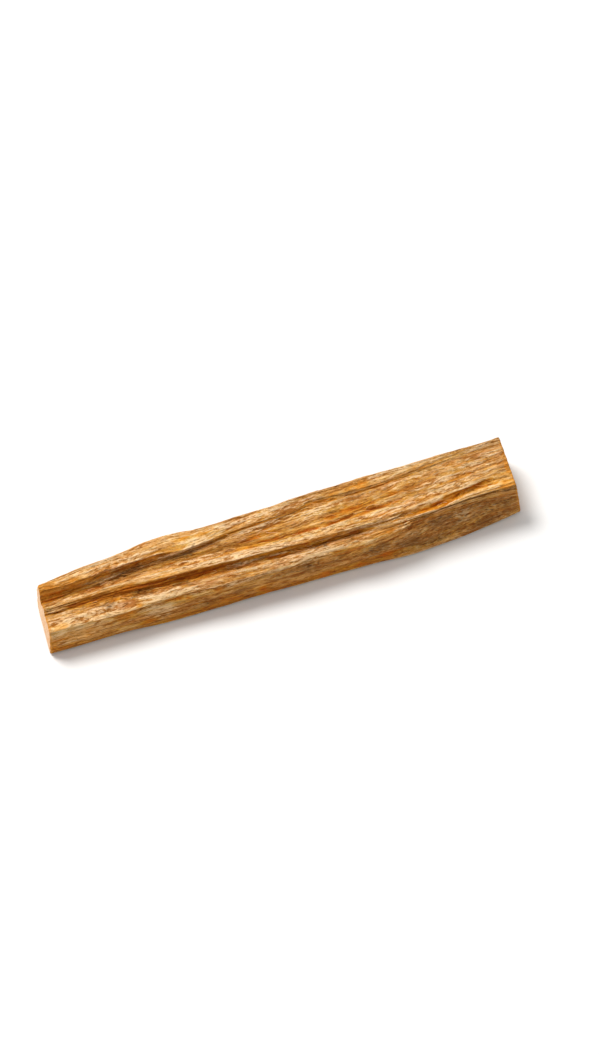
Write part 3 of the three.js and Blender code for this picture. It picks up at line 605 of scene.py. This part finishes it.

# Bands of dark resin along the grain, partly painted shade in troughs, creases and gashes: strength, half
# width in mm, then knots of [along, across]
resinAndShadeBands = [
    (0.6, 2.3, [[-49.4, 18.3], [-44.5, 18.3], [-39, 18.5]]),
    (1.9, 0.8, [[-49.4, 16.3], [-43, 16.1], [-37.5, 15.7]]),
    (0.75, 1.7, [[-40, 18], [-34, 17.4], [-28, 17.2], [-18, 17], [-9, 16.5]]),
    (0.7, 0.9, [[-39, 20.2], [-30, 20], [-25, 20.2]]),
    (0.8, 1.3, [[-9, 15.7], [0, 15.3], [8, 15]]),
    (0.9, 2.2, [[11, 16.2], [20, 16.4]]),
    (0.8, 1, [[-36, 10.3], [-28, 10.3], [-20, 10.2], [-12, 10.4]]),
    (0.6, 1.2, [[10, 22.4], [20, 22.4]]),
    (0.9, 0.5, [[-38.9, 20.9], [-33.6, 20.1], [-28.7, 20.3], [-22.8, 20.9], [-20.1, 21.3]]),
    (0.7, 0.35, [[-38.9, 16.8], [-32.3, 15.4], [-26.1, 16.2]]),
    (0.8, 0.5, [[-20.1, 19.3], [-15.5, 19.5], [-11.5, 20], [-7.3, 20.4]]),
    (0.7, 0.45, [[-11.5, 20.9], [-3.6, 20.5], [2, 20.4], [6.3, 19.9]]),
    (0.7, 0.6, [[5.9, 20.5], [9.6, 20.1], [12.9, 20.1]]),
    (0.65, 0.4, [[12.5, 19.8], [15.8, 19.6], [20.1, 19.4], [23.1, 19.6], [26.1, 19.9], [30.7, 19.7]]),
    (0.3, 0.5, [[-49.4, 11.8], [-44.5, 11.8], [-40.2, 11.7]]),
    (1.4, 0.95, [[-44.2, 11.7], [-38.3, 11.3], [-30.3, 11.6], [-22.4, 11.8], [-12.5, 11.8]]),
    (1.1, 0.6, [[-13.5, 12], [-6.3, 12], [0.7, 12.1], [4.9, 12.1]]),
    (1.1, 0.6, [[0.7, 11.4], [5.9, 11.1], [9.9, 11.1], [13.9, 11.1], [18.5, 10.8]]),
    (1.1, 0.3, [[29.5, 12.2], [32, 12.1], [34.5, 12]]),
    (0.5, 0.4, [[21.4, 13], [27, 12.5], [31.3, 12.4], [34.6, 12.3]]),
    (1.1, 0.32, [[34.3, 12.8], [38.3, 12.6], [41.2, 12.4], [44.5, 12.7]]),
    (0.9, 0.3, [[-8.2, 16.5], [-5.6, 17]]),
    (0.8, 0.35, [[-5.3, 17.4], [-2.3, 17.4], [0.3, 17.3]]),
    (0.6, 0.35, [[2, 15.3], [6.6, 15.4], [8.6, 15.3]]),
    (0.75, 0.4, [[8.9, 15.4], [15.2, 15.4], [20.5, 15.4], [26.1, 15.4]]),
    (0.8, 0.4, [[9.9, 16.7], [13.9, 16.9], [18.1, 16.9], [24.1, 16.9], [29.7, 17]]),
    (0.9, 1.2, [[-48.8, 1.4], [-37.3, 0.2], [-29.4, 0.5], [-21.4, 0.9], [-9.6, 1.2], [2.3, 1.1],
        [19.5, 1.2]]),
    (0.9, 0.9, [[-30.7, 2.1], [-27.4, 2.5]]),
    (0.75, 0.7, [[-37.3, 6.8], [-35.3, 6.6], [-32.3, 6.8]]),
    (0.7, 1, [[-36, 5.8], [-32.3, 5]]),
    (0.8, 0.6, [[-25.7, 7.1], [-23.1, 6.7], [-19.8, 6.6], [-13.5, 7]]),
    (1, 0.7, [[-23.4, 6.5], [-19.8, 6.3]]),
    (0.9, 0.9, [[-6.6, 2.2], [-4.3, 2.1]]),
    (0.7, 1, [[5.3, 1.5], [9.2, 1.2]]),
    (0.7, 1.2, [[19.1, 2], [22.4, 1.6]]),
    (0.9, 0.7, [[9.6, 7.3], [15.8, 7.5]]),
    (0.7, 1.2, [[-16.5, 2.5], [-9.9, 2.4]]),
    (0.6, 0.3, [[-11.2, 8.8], [-3, 8.3]]),
    (0.7, 0.3, [[-20.8, 22.4], [-15.5, 22.4], [-10.6, 22.1]]),
    (0.7, 0.3, [[-26.7, 21.5], [-21.4, 21.7], [-17.8, 21.7]]),
]


def stainAt(name, grain):
    total = np.zeros(len(grain))
    for along, across, length, width, strength in stains[name]:
        reach = ((grain[:, 0] - along) / length) ** 2 + ((grain[:, 1] - across) / width) ** 2
        total = np.maximum(total, strength * np.exp(-reach))
    return total


def resinAndShadeBandAt(grain):
    total = np.zeros(len(grain))
    for strength, width, path in resinAndShadeBands:
        knots = np.array(path, float)
        offset = grain[:, 1] - np.interp(grain[:, 0], knots[:, 0], knots[:, 1])
        beyond = np.maximum(knots[0, 0] - grain[:, 0], grain[:, 0] - knots[-1, 0])
        ends = np.clip(1 - beyond / stick["bandFade"], 0, 1)
        total = np.maximum(total, strength * ends * np.exp(-((offset / width) ** 2)))
    return total


def setAttribute(mesh, name, kind, domain, values):
    attribute = mesh.attributes.new(name, kind, domain)
    key = "vector" if kind == "FLOAT_VECTOR" else "value"
    form = bool if kind == "BOOLEAN" else np.float32
    attribute.data.foreach_set(key, np.asarray(values).astype(form).ravel())


def readVectors(rows, key):
    values = np.zeros(len(rows) * 3, np.float32)
    rows.foreach_get(key, values)
    return values.reshape(-1, 3)


def buildStick():
    made = stickGrid()
    points = made["points"]
    low, high = points.reshape(-1, 3).min(0), points.reshape(-1, 3).max(0)
    cadLow, cadHigh = (np.array(corner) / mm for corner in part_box("cedarwood_stick"))
    shift = (cadLow + cadHigh) / 2 - (low + high) / 2
    shift[2] = 0
    rings, around = points.shape[:2]
    j = np.arange(around)
    following = (j + 1) % around
    faces = []
    for i in range(rings - 1):
        near, far = i * around, (i + 1) * around
        faces += np.stack([near + j, far + j, far + following, near + following], -1).tolist()
    vertices = [points.reshape(-1, 3)]
    sides = len(faces)
    total = rings * around
    for ring, side in ((0, -1), (rings - 1, 1)):
        inner, triangles = endFace(points[ring], side)
        for face in triangles:
            faces.append([ring * around + k if k < around else total + k - around for k in face])
        vertices.append(inner)
        total += len(inner)
    vertices = np.concatenate(vertices) + shift
    extra = total - rings * around
    mesh = bpy.data.meshes.new("cedarwood")
    mesh.from_pydata((vertices * mm).tolist(), [], faces)
    grain = np.concatenate([made["grain"].reshape(-1, 3), vertices[rings * around :]])
    outward = np.concatenate([made["outward"].reshape(-1, 3), np.zeros((extra, 3))])
    rough = np.concatenate([made["rough"].ravel(), np.zeros(extra)])
    setAttribute(mesh, "grain", "FLOAT_VECTOR", "POINT", grain)
    setAttribute(mesh, "outward", "FLOAT_VECTOR", "POINT", outward)
    setAttribute(mesh, "rough", "FLOAT", "POINT", rough)
    for name in stains:
        setAttribute(mesh, name, "FLOAT", "POINT", stainAt(name, grain))
    setAttribute(mesh, "bandResinAndShade", "FLOAT", "POINT", resinAndShadeBandAt(grain))
    setAttribute(mesh, "sawn", "BOOLEAN", "FACE", np.arange(len(faces)) >= sides)
    return newObject("cedarwood", mesh), (rings, around)


# Geometry trees: each has its sizes and its seed as named inputs


def openTree(name, values):
    group = bpy.data.node_groups.new(name, "GeometryNodeTree")
    group.interface.new_socket(name="Geometry", in_out="INPUT", socket_type="NodeSocketGeometry")
    group.interface.new_socket(name="Geometry", in_out="OUTPUT", socket_type="NodeSocketGeometry")
    board = Board(group)
    identifiers = {}
    for title, value in values.items():
        socket = group.interface.new_socket(name=title, in_out="INPUT", socket_type="NodeSocketFloat")
        socket.default_value = value
        identifiers[title] = socket.identifier
    entry = group.nodes.new("NodeGroupInput")
    given = {socket.name: Wire(board, socket) for socket in entry.outputs if socket.name}
    return board, given, identifiers


def closeTree(board, shape):
    out = board.tree.nodes.new("NodeGroupOutput")
    board.tree.links.new(shape.socket, out.inputs[0])
    return board.tree


def applyTree(thing, group, identifiers, values):
    modifier = thing.modifiers.new(group.name, "NODES")
    modifier.node_group = group
    for name, identifier in identifiers.items():
        modifier[identifier] = values[name]
    shown = thing.evaluated_get(bpy.context.evaluated_depsgraph_get())
    mesh = bpy.data.meshes.new_from_object(shown)
    thing.modifiers.remove(modifier)
    thing.data = mesh


# Fine relief

splitGrain = {
    "Bundle length": 11.0,  # mm
    "Bundle width": 0.9,
    "Bundle height": 0.5,
    "Fibre length": 3.2,
    "Fibre width": 0.42,
    "Fibre height": 0.36,
    "Sliver length": 9.0,
    "Sliver width": 1.1,
    "Sliver height": 0.2,
    "Splinter length": 3.6,
    "Splinter width": 0.55,
    "Splinter height": 0.13,
    "Grit size": 0.7,
    "Grit height": 0.4,
    "Wander": 1.2,  # mm that the fibres stray sideways
    "Seed": 4.0,
}


def splitGrainTree(sideWood, endWood):
    board, given, identifiers = openTree("split grain relief", splitGrain)
    rough, smokeAndShade = board.stored("rough"), board.stored("smokeAndShade")
    strayed = board.strayed(board.stored("grain", "FLOAT_VECTOR"), given["Wander"])

    def pattern(length, width, seed):
        shift = board.vector(given["Seed"] * seed, given["Seed"] + seed, seed)
        return board.scaled(strayed, board.vector(1 / length, 1 / width, 1.0), shift)

    def bumps(length, width, seed, detail):
        return board.noise(pattern(length, width, seed), detail, 0.6) - 0.5

    def cells(kind, seed):  # three random values for each pointed cell
        place = pattern(given[kind + " length"], given[kind + " width"], seed)
        settings = {"feature": "F1", "voronoi_dimensions": "2D"}
        return board.add("ShaderNodeTexVoronoi", settings, {"Vector": place, "Scale": 1.0}, out=1)

    bundles = bumps(given["Bundle length"], given["Bundle width"], 1.3, 3)
    fibres = bumps(given["Fibre length"], given["Fibre width"], 2.7, 2)
    grit = bumps(given["Grit size"] * 1.6, given["Grit size"], 3.4, 3)
    sliver, splinter = cells("Sliver", 4.1), cells("Splinter", 5.6)
    height = bundles * given["Bundle height"] + fibres * given["Fibre height"]
    height = height + (board.part(sliver, 0) - 0.5) * given["Sliver height"]
    height = height + (board.part(splinter, 0) - 0.5) * given["Splinter height"]
    height = height + board.maths("MINIMUM", smokeAndShade, 1.0) * grit * given["Grit height"]
    height = height * rough
    outward = board.stored("outward", "FLOAT_VECTOR")
    offset = board.add("ShaderNodeVectorMath", {"operation": "SCALE"}, {0: outward, "Scale": height * mm})
    shape = board.add("GeometryNodeSetPosition", None, {"Geometry": given["Geometry"], "Offset": offset})
    shape = board.store(shape, "sliver", sliver, "FLOAT_VECTOR")
    shape = board.store(shape, "splinter", splinter, "FLOAT_VECTOR")
    shape = board.add("GeometryNodeRealizeInstances", None, {"Geometry": shape})
    shape = board.add("GeometryNodeSetMaterial", None, {"Geometry": shape, "Material": sideWood})
    dress = {"Geometry": shape, "Selection": board.stored("sawn", "BOOLEAN"), "Material": endWood}
    return closeTree(board, board.add("GeometryNodeSetMaterial", None, dress)), identifiers


def blurred(grid, around, along):  # mean over a window, closed round the section and held at the ends
    total = sum(np.roll(grid, k, 1) for k in range(-around, around + 1)) / (2 * around + 1)
    padded = np.concatenate([total[:1].repeat(along, 0), total, total[-1:].repeat(along, 0)])
    return sum(padded[k : k + len(grid)] for k in range(2 * along + 1)) / (2 * along + 1)


# Depth maps from which the wood material paints shade in hollows and valleys
hollowWindows = {"hollow": (3, 2), "valley": (11, 5)}  # points to each side, round the section and along


def storeHollows(thing, size):  # how deep each point lies in its surroundings, mm
    count = size[0] * size[1]
    mesh = thing.data
    places = readVectors(mesh.vertices, "co")[:count].reshape(*size, 3) / mm
    outward = readVectors(mesh.attributes["outward"].data, "vector")[:count].reshape(*size, 3)
    for name, (around, along) in hollowWindows.items():
        depth = ((blurred(places, around, along) - places) * outward).sum(-1)
        values = np.zeros(len(mesh.vertices))
        values[:count] = depth.ravel()
        setAttribute(mesh, name, "FLOAT", "POINT", values)


looseFibres = {
    "Density": 430000.0,  # to the square metre, before the share that lies on the rough top
    "Shortest": 0.8,  # mm
    "Longest": 2.9,
    "Thickness": 0.019,  # half of it, as a share of the length
    "Stray": 0.14,  # radians that a fibre turns out of the grain
    "Seed": 3.0,
}
# The bend of one fibre, as shares of its length
fibreArc = {"Start": (-0.5, 0, -0.05), "Middle": (0.1, 0.26, 0.1), "End": (0.45, -0.12, 0.12)}


def looseFibresTree(fibreWood):  # thin pointed fibres that have sprung from the split top
    board, given, identifiers = openTree("loose fibres", looseFibres)

    def chance(low, high, seed):
        sockets = {"Min": low, "Max": high, "Seed": given["Seed"] + seed}
        return board.add("FunctionNodeRandomValue", {"data_type": "FLOAT"}, sockets, out=1)

    facing = board.part(board.add("GeometryNodeInputNormal"), 2)
    grain = board.stored("grain", "FLOAT_VECTOR")
    along, across = abs(board.part(grain, 0)), board.part(grain, 1)
    share = board.rise(facing, 0.35, 0.8) * board.rise(board.stored("rough"), 0.55, 1.1)
    share = share * board.rise(board.noise(board.stretched(grain, 12, 2.5, 2)), 0.42, 0.6)
    onTop = board.rise(across, 8.2, 8.6) * board.rise(across, 21.6, 21.2)
    share = share * board.rise(along, 44.0, 43.0) * onTop
    sockets = {"Mesh": given["Geometry"], "Density": given["Density"] * share, "Seed": given["Seed"]}
    roots = board.add("GeometryNodeDistributePointsOnFaces", None, sockets)
    arc = board.add("GeometryNodeCurveQuadraticBezier", None, {"Resolution": 8, **fibreArc})
    taper = board.maths("SINE", board.add("GeometryNodeSplineParameter") * 2.9 + 0.12)
    arc = board.add("GeometryNodeSetCurveRadius", None, {"Curve": arc, "Radius": taper})
    sockets = {"Resolution": 5, "Radius": given["Thickness"]}
    ring = board.add("GeometryNodeCurvePrimitiveCircle", None, sockets)
    sockets = {"Curve": arc, "Profile Curve": ring, "Fill Caps": True}
    fibre = board.add("GeometryNodeCurveToMesh", None, sockets)
    about = board.maths("ROUND", chance(0.0, 1.0, 4)) * math.pi  # half of them lie the other way
    stray = chance(0 - given["Stray"], given["Stray"], 3)
    length = chance(given["Shortest"], given["Longest"], 5) * mm
    placed = {
        "Points": roots,
        "Instance": fibre,
        "Rotation": board.vector(chance(-0.5, 0.5, 1), chance(-0.03, 0.03, 2), stray + about),
        "Scale": board.vector(length, length, length),
    }
    shape = board.add("GeometryNodeInstanceOnPoints", None, placed)
    shape = board.store(shape, "fibreTone", chance(0.0, 1.0, 6), "FLOAT", "INSTANCE")
    shape = board.add("GeometryNodeRealizeInstances", None, {"Geometry": shape})
    dress = {"Geometry": shape, "Material": fibreWood}
    return closeTree(board, board.add("GeometryNodeSetMaterial", None, dress)), identifiers


def keepInside(thing, gap=0.02):  # no fibre comes nearer than this to the solid's box, mm
    low, high = (np.array(corner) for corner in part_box("cedarwood_stick"))
    places = readVectors(thing.data.vertices, "co")
    places = np.clip(places, low + gap * mm, high - gap * mm)
    thing.data.vertices.foreach_set("co", places.ravel())


# Materials

woodTones = {
    "pale": tint("FDD5A4"),
    "tan": tint("DDA15E"),
    "deep": tint("B06E28"),
    "pink": tint("DFA270"),
    "straw": tint("DCA54F"),
    "gold": tint("E0912A"),
    "honey": tint("F2A440"),
    "brown": tint("643305"),
    "rust": tint("BE7840"),
    "smokeAndShade": tint("966A3E"),
    "sootAndShade": tint("6B4216"),
    "cut": tint("F0CFAE"),
}


def newMaterial(name):
    material = bpy.data.materials.new(name)
    material.use_nodes = True
    return material, Board(material.node_tree)


def closeMaterial(board, surface):
    shader = board.add("ShaderNodeBsdfPrincipled", None, surface)
    board.add("ShaderNodeOutputMaterial", None, {"Surface": shader})


grainPatterns = {  # length and width in mm, seed, detail, roughness
    "bands": (30, 1.6, 1, 3, 0.55),
    "streaks": (8, 0.7, 2, 3, 0.65),
    "fibres": (2.6, 0.3, 3, 3, 0.7),
    "flecks": (1.1, 0.34, 4, 3, 0.7),
    "patches": (3.4, 1.2, 5, 4, 0.7),
    "pits": (1.1, 0.28, 6, 3, 0.6),
    "shadedGaps": (1.9, 0.24, 10, 2, 0.6),
    "glints": (2.6, 0.26, 11, 2, 0.6),
    "grit": (1, 0.42, 12, 1, 0.5),
}
dyeAndShadeLaw = {
    "passes": (0.84, 0.47, 0.035),  # shares of red, green and blue that a full soak lets through, of resin and of painted shade alike
    "most": 1.22,  # the deepest soak, resin and painted shade together
    "wander": 1.1,  # mm that the colours stray sideways
}


def splitWood():
    material, board = newMaterial("splitWood")
    grain = board.painted("grain", 1)
    along, across = abs(board.part(grain, 0)), board.part(grain, 1)
    grain = board.strayed(grain, dyeAndShadeLaw["wander"])

    def pattern(name):
        length, width, seed, detail, roughness = grainPatterns[name]
        return board.noise(board.stretched(grain, length, width, seed), detail, roughness) - 0.5

    bands, streaks, fibres, flecks, patches, pits, shadedGaps, glints, grit = map(pattern, grainPatterns)
    hollow, valley, band = board.painted("hollow"), board.painted("valley"), board.painted("bandResinAndShade")
    resin, smokeAndShade, pale, rust = (board.painted(name) for name in ("resin", "smokeAndShade", "pale", "rust"))
    sliver, splinter = board.painted("sliver", 1), board.painted("splinter", 1)
    tone, hue, chip = (board.part(*one) - 0.5 for one in ((sliver, 1), (sliver, 2), (splinter, 1)))
    # Painted shade: thin dark gaps between the fibres
    shadedGaps, glints = board.rise(shadedGaps, 0.06, 0.2), board.rise(glints, 0.07, 0.2)
    # The front and back faces, which are painted a little darker: painted shade
    side = board.clamped(board.rise(across, 9.0, 7.2) + board.rise(across, 23.8, 26.0))

    lightness = 0.5 + bands * 1.2 + streaks * 1.8 + fibres * 2.6 + flecks * 1.7 + tone * 0.3 + chip * 0.4
    grit = grit * board.clamped(smokeAndShade)
    # Painted shade: the wood is made darker in hollows and on the front and back faces
    lightness = lightness + grit * 2.4 - smokeAndShade * 0.2 - side * 0.08 - hollow * 0.5
    pinker = board.rise(hue + patches + side * 0.3, 0.1, 0.5)
    colour = board.mix(pinker * 0.6, woodTones["tan"], woodTones["pink"])
    colour = board.mix(board.rise(hue + patches, -0.1, -0.5) * 0.5, colour, woodTones["straw"])
    colour = board.mix(board.rise(lightness, 0.42, -0.05), colour, woodTones["deep"])
    # Partly painted light: the pale marks also brighten faces turned away from the lamp
    bleachedAndLit = board.rise(pale + patches + fibres * 1.4 + flecks - hollow * 3 - valley, 0.26, 1.0)
    light = board.rise(lightness + bleachedAndLit * 0.48, 0.42, 1.12) + glints * 0.5
    colour = board.mix(board.clamped(light), colour, woodTones["pale"])
    colour = board.mix(board.rise(rust + patches * 1.8 + flecks, 0.25, 0.9) * 0.6, colour, woodTones["rust"])
    # Partly painted shade: the smoke marks also darken the ledge beside the groove foot and the right of the
    # front face
    sootAndShade = board.rise(smokeAndShade + patches * 2 + flecks * 1.2 + fibres, 0.25, 1.0)
    colour = board.mix(sootAndShade * 0.65, colour, woodTones["smokeAndShade"])
    spots = board.rise(pits + flecks * 0.5, 0.05, 0.16) * board.clamped(smokeAndShade * 1.4 - 0.15)
    colour = board.mix(spots * 0.8, colour, woodTones["sootAndShade"])

    # Resin soaks into the wood and takes up its blue first, then its green; the same darkening also paints
    # shade in hollows, valleys, gaps and on the side faces
    glow = board.rise(resin + patches * 1.8 + streaks * 1.2 + flecks * 0.8, 0.25, 1.0)
    # Partly painted shade: the dark bands also darken troughs, creases and gashes
    dyedAndShaded = board.rise(band + patches * 0.9 + streaks + flecks * 0.8, 0.25, 1.6)
    # Painted shade: deep and dark darken and saturate the wood where it lies low among its neighbours
    deep = board.rise(valley * 1.2 + hollow * 2.5 + streaks * 0.5, 0.05, 0.6)
    dark = board.rise(hollow * 4 + flecks * 1.2 + fibres * 0.8, 0.2, 0.8)
    crest = board.rise(board.maths("MAXIMUM", 0 - hollow, 0) * 4 + streaks, 0.25, 0.8)
    runs = board.rise(bands + streaks * 1.3 + patches * 0.8, 0.0, 0.7)
    colour = board.mix(glow * 0.52, colour, woodTones["honey"])
    soakAndShade = 0.05 + glow * 0.28 + dyedAndShaded * 1.05 + deep * 0.5 + dark * 0.35 + crest * 0.05 + runs * 0.22
    soakAndShade = soakAndShade + side * 0.14 + shadedGaps * 0.5 - grit * 0.8
    soakAndShade = board.maths("MINIMUM", soakAndShade * (1 - bleachedAndLit * 0.7) * (1 - sootAndShade * 0.3), dyeAndShadeLaw["most"])
    # Where the bands lie the colour is darkened further, partly painted shade
    parts = {k: share**soakAndShade * (1 - dyedAndShaded * 0.16) for k, share in enumerate(dyeAndShadeLaw["passes"])}
    colour = board.mix(1.0, colour, board.add("ShaderNodeCombineColor", None, parts), "MULTIPLY")
    # Brown for the darkest bands, partly painted shade in the deepest troughs and gashes
    colour = board.mix(board.rise(band + patches + flecks, 1.1, 2.2) * 0.8, colour, woodTones["brown"])
    worn = board.rise(along + flecks * 1.2 + streaks, 48.7, 49.3)
    colour = board.mix(worn * 0.7, colour, woodTones["gold"])
    relief = fibres * 0.7 + streaks * 0.5 + flecks * 0.7 + glints * 0.25 - shadedGaps * 0.3 - spots * 0.3
    surface = {
        "Base Color": colour,
        "Roughness": 0.68 + fibres * 0.3 - glow * 0.14,
        "Normal": board.add("ShaderNodeBump", None, {"Strength": 1.0, "Distance": 0.0007, "Height": relief}),
        "Specular IOR Level": 0.2,
    }
    closeMaterial(board, surface)
    return material


growthRings = {
    "spacing": 1.05,  # mm
    "middle": (0, 4, -26),  # of the tree, mm; it lies below the stick
    "wobble": 2.6,  # mm
}


def sawnWood():
    material, board = newMaterial("sawnWood")
    place = board.add("ShaderNodeTexCoord", out=3)
    spread = board.scaled(place, (0, 1, 1), [-value * mm for value in growthRings["middle"]])
    reach = board.add("ShaderNodeVectorMath", {"operation": "LENGTH"}, {0: spread}, out=1) / mm
    wobble = board.noise(board.stretched(place, 0.05, 0.0035, 1), 3, 0.6) * growthRings["wobble"]
    wave = board.maths("SINE", (reach + wobble) * (2 * math.pi / growthRings["spacing"]))
    pores = board.noise(board.stretched(place, 0.0006, 0.00016, 2), 3, 0.7)
    scratches = board.noise(board.scaled(place, (0, 300, 4200), (1, 2, 3)))
    broad = board.noise(board.stretched(place, 0.03, 0.003, 5))
    late = board.rise(wave + pores * 1.4, 0.2, 1.9)
    colour = board.mix(late * 0.6, woodTones["cut"], woodTones["tan"])
    colour = board.mix(board.rise(broad + late * 0.2, 0.45, 0.9) * 0.5, colour, woodTones["gold"])
    colour = board.mix(board.rise(pores, 0.5, 0.7) * 0.5, colour, woodTones["deep"])
    colour = board.mix(board.rise(scratches, 0.45, 0.7) * 0.4, colour, woodTones["tan"])
    relief = pores - scratches * 0.6
    bump = board.add("ShaderNodeBump", None, {"Strength": 0.5, "Distance": 0.0002, "Height": relief})
    closeMaterial(board, {"Base Color": colour, "Roughness": 0.78, "Normal": bump, "Specular IOR Level": 0.3})
    return material


def fibreWood():
    material, board = newMaterial("fibreWood")
    place = board.add("ShaderNodeTexCoord", out=3)
    tone = board.painted("fibreTone")
    shade = board.noise(board.stretched(place, 0.0012, 0.0006, 3)) - 0.5
    colour = board.mix(board.rise(tone + shade, -0.4, 0.4), woodTones["pale"], woodTones["tan"])
    colour = board.mix(board.rise(tone + shade * 2, 0.3, 1.0) * 0.85, colour, woodTones["gold"])
    closeMaterial(board, {"Base Color": colour, "Roughness": 0.6 + shade * 0.2, "Specular IOR Level": 0.3})
    return material


stickThing, gridSize = buildStick()
print("stick lofted:", len(stickThing.data.polygons), "faces")
tree, identifiers = splitGrainTree(splitWood(), sawnWood())
applyTree(stickThing, tree, identifiers, splitGrain)
storeHollows(stickThing, gridSize)
stickThing.data.shade_smooth()
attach(stickThing, "root")
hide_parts("cedarwood_stick")
print("split grain raised:", len(stickThing.data.vertices), "vertices")

fibreThing = stickThing.copy()
fibreThing.name = "looseFibres"
bpy.context.collection.objects.link(fibreThing)
tree, identifiers = looseFibresTree(fibreWood())
applyTree(fibreThing, tree, identifiers, looseFibres)
keepInside(fibreThing)
fibreThing.data.shade_smooth()
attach(fibreThing, "root")
print("fibres sprung:", len(fibreThing.data.vertices), "vertices")

# Floor and light

studio = {
    "floorSize": 3.0,  # m
    "floorTone": tint("F2F1EF"),
    "keyPower": 9.0,
    "keyPlace": (-0.3, 0.43, 0.85),
    "keySize": 0.45,
    "skyStrength": 0.57,
}


def addFloor():
    half = studio["floorSize"] / 2
    corners = [(-half, -half, 0), (half, -half, 0), (half, half, 0), (-half, half, 0)]
    mesh = bpy.data.meshes.new("floor")
    mesh.from_pydata(corners, [], [(0, 1, 2, 3)])
    material, board = newMaterial("paleFloor")
    closeMaterial(board, {"Base Color": studio["floorTone"], "Roughness": 0.9, "Specular IOR Level": 0.2})
    mesh.materials.append(material)
    newObject("floor", mesh)


def addLight(name, power, place, size):
    data = bpy.data.lights.new(name, "AREA")
    data.energy = power
    data.shape = "DISK"
    data.size = size
    light = newObject(name, data)
    light.location = place
    light.rotation_euler = (-Vector(place)).to_track_quat("-Z", "Y").to_euler()


def addSky():
    world = bpy.data.worlds.new("studio")
    bpy.context.scene.world = world
    world.use_nodes = True
    board = Board(world.node_tree)
    sky = board.add("ShaderNodeBackground", None, {"Color": (1, 1, 1, 1), "Strength": studio["skyStrength"]})
    board.add("ShaderNodeOutputWorld", None, {"Surface": sky})


addFloor()
addLight("key", studio["keyPower"], studio["keyPlace"], studio["keySize"])
addSky()
bpy.context.scene.view_settings.view_transform = "Standard"
print("studio lit")
